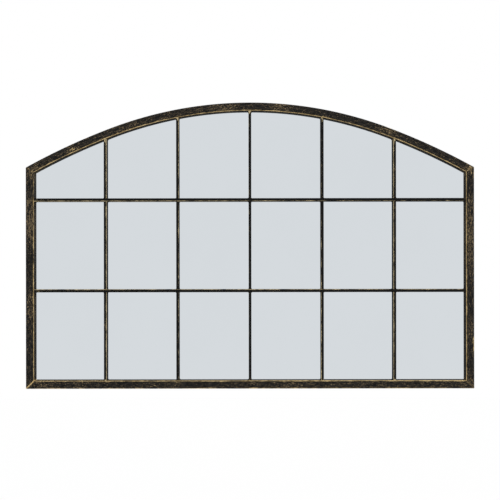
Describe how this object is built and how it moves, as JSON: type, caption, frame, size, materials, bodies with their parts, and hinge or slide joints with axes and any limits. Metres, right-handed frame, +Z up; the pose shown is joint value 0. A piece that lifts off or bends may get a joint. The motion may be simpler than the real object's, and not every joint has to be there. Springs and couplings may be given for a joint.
{
  "type": "arched wall mirror",
  "caption": "Wide wall mirror with a shallow arched top, in a distressed black metal frame with gold rubbed edges and window-style glazing bars; back with turn buttons and hanging rings.",
  "frame": {"origin": "on the wall plane, midway between the two points where the mirror hangs from its rings", "axes": "+X to the right seen from the front, +Y into the wall, +Z up; the mirror faces -Y"},
  "size_m": [1.1, 0.032, 0.702],
  "materials": {
    "distressed_black": "satin black paint rubbed back to gold on the edges",
    "black_paint": "matt black paint",
    "mirror": "silvered float glass",
    "tape": "foam glazing tape",
    "foam": "closed-cell foam sheet",
    "hardboard": "tempered hardboard",
    "block_rubber": "matt",
    "zinc_steel": "bright zinc plate",
    "nickel_wire": "nickel plate",
    "bumper_rubber": "matt"
  },
  "bodies": {
    "frame": {"bottom_rail_front": "distressed_black", "left_stile_front": "distressed_black", "right_stile_front": "distressed_black", "arch_front": "distressed_black", "bottom_rail_rear": "black_paint", "left_stile_rear": "black_paint", "right_stile_rear": "black_paint", "arch_rear": "black_paint", "vertical_bar_1": "distressed_black", "vertical_bar_2": "distressed_black", "vertical_bar_3": "distressed_black", "vertical_bar_4": "distressed_black", "vertical_bar_5": "distressed_black", "lower_bar": "distressed_black", "upper_bar": "distressed_black", "glazing_tape": "tape", "mirror_glass": "mirror", "foam_sheet": "foam", "backing_board": "hardboard", "setting_blocks": "block_rubber", "turn_button_screws": "zinc_steel", "left_hanger_plate": "zinc_steel", "right_hanger_plate": "zinc_steel", "hanger_screws": "zinc_steel", "wall_bumpers": "bumper_rubber"},
    "bottom_turn_button_1": {"bottom_turn_button_1": "zinc_steel"},
    "bottom_turn_button_2": {"bottom_turn_button_2": "zinc_steel"},
    "bottom_turn_button_3": {"bottom_turn_button_3": "zinc_steel"},
    "left_turn_button_1": {"left_turn_button_1": "zinc_steel"},
    "left_turn_button_2": {"left_turn_button_2": "zinc_steel"},
    "right_turn_button_1": {"right_turn_button_1": "zinc_steel"},
    "right_turn_button_2": {"right_turn_button_2": "zinc_steel"},
    "arch_turn_button_1": {"arch_turn_button_1": "zinc_steel"},
    "arch_turn_button_2": {"arch_turn_button_2": "zinc_steel"},
    "arch_turn_button_3": {"arch_turn_button_3": "zinc_steel"},
    "left_hanger_ring": {"left_hanger_ring": "nickel_wire"},
    "right_hanger_ring": {"right_hanger_ring": "nickel_wire"}
  },
  "joints": [
    {"name": "bottom_turn_button_1_pivot", "type": "hinge", "parent": "frame", "child": "bottom_turn_button_1", "pos_m": [-0.3, -0.00625, -0.496], "axis": [0, 1, 0], "continuous": true},
    {"name": "bottom_turn_button_2_pivot", "type": "hinge", "parent": "frame", "child": "bottom_turn_button_2", "pos_m": [0, -0.00625, -0.496], "axis": [0, 1, 0], "continuous": true},
    {"name": "bottom_turn_button_3_pivot", "type": "hinge", "parent": "frame", "child": "bottom_turn_button_3", "pos_m": [0.3, -0.00625, -0.496], "axis": [0, 1, 0], "continuous": true},
    {"name": "left_turn_button_1_pivot", "type": "hinge", "parent": "frame", "child": "left_turn_button_1", "pos_m": [-0.545, -0.00625, -0.351], "axis": [0, 1, 0], "continuous": true},
    {"name": "left_turn_button_2_pivot", "type": "hinge", "parent": "frame", "child": "left_turn_button_2", "pos_m": [-0.545, -0.00625, -0.131], "axis": [0, 1, 0], "continuous": true},
    {"name": "right_turn_button_1_pivot", "type": "hinge", "parent": "frame", "child": "right_turn_button_1", "pos_m": [0.545, -0.00625, -0.351], "axis": [0, 1, 0], "continuous": true},
    {"name": "right_turn_button_2_pivot", "type": "hinge", "parent": "frame", "child": "right_turn_button_2", "pos_m": [0.545, -0.00625, -0.131], "axis": [0, 1, 0], "continuous": true},
    {"name": "arch_turn_button_1_pivot", "type": "hinge", "parent": "frame", "child": "arch_turn_button_1", "pos_m": [-0.3, -0.00625, 0.14792], "axis": [0, 1, 0], "continuous": true},
    {"name": "arch_turn_button_2_pivot", "type": "hinge", "parent": "frame", "child": "arch_turn_button_2", "pos_m": [0, -0.00625, 0.196], "axis": [0, 1, 0], "continuous": true},
    {"name": "arch_turn_button_3_pivot", "type": "hinge", "parent": "frame", "child": "arch_turn_button_3", "pos_m": [0.3, -0.00625, 0.14792], "axis": [0, 1, 0], "continuous": true},
    {"name": "left_hanger_ring_swing", "type": "hinge", "parent": "frame", "child": "left_hanger_ring", "pos_m": [-0.526, -0.0036, -0.015], "axis": [1, 0, 0], "range_deg": [0, 180]},
    {"name": "right_hanger_ring_swing", "type": "hinge", "parent": "frame", "child": "right_hanger_ring", "pos_m": [0.526, -0.0036, -0.015], "axis": [1, 0, 0], "range_deg": [0, 180]}
  ]
}
